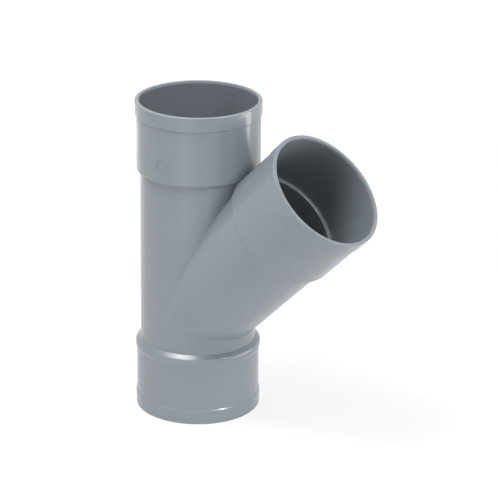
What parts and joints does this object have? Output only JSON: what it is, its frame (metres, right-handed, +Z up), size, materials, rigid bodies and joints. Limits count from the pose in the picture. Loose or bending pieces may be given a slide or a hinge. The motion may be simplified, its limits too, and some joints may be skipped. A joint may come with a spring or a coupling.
{
  "type": "lateral wye fitting",
  "caption": "Grey plastic drainage wye: a straight run with a push-in glue socket at each end, and an equal branch socket that leaves it at an angle of 45 degrees.",
  "frame": {"origin": "centre of the lower socket's mouth, which is the face that the fitting stands on", "axes": "+Z up along the run towards the upper socket; the branch leaves in the XZ plane, upwards and towards +X; the part is its own mirror image in Y"},
  "size_m": [0.2223, 0.1084, 0.2771],
  "materials": {
    "grey_pvc": "satin moulded rigid PVC, dusty grey"
  },
  "bodies": {
    "root": {"wye_fitting": "grey_pvc"}
  },
  "joints": []
}
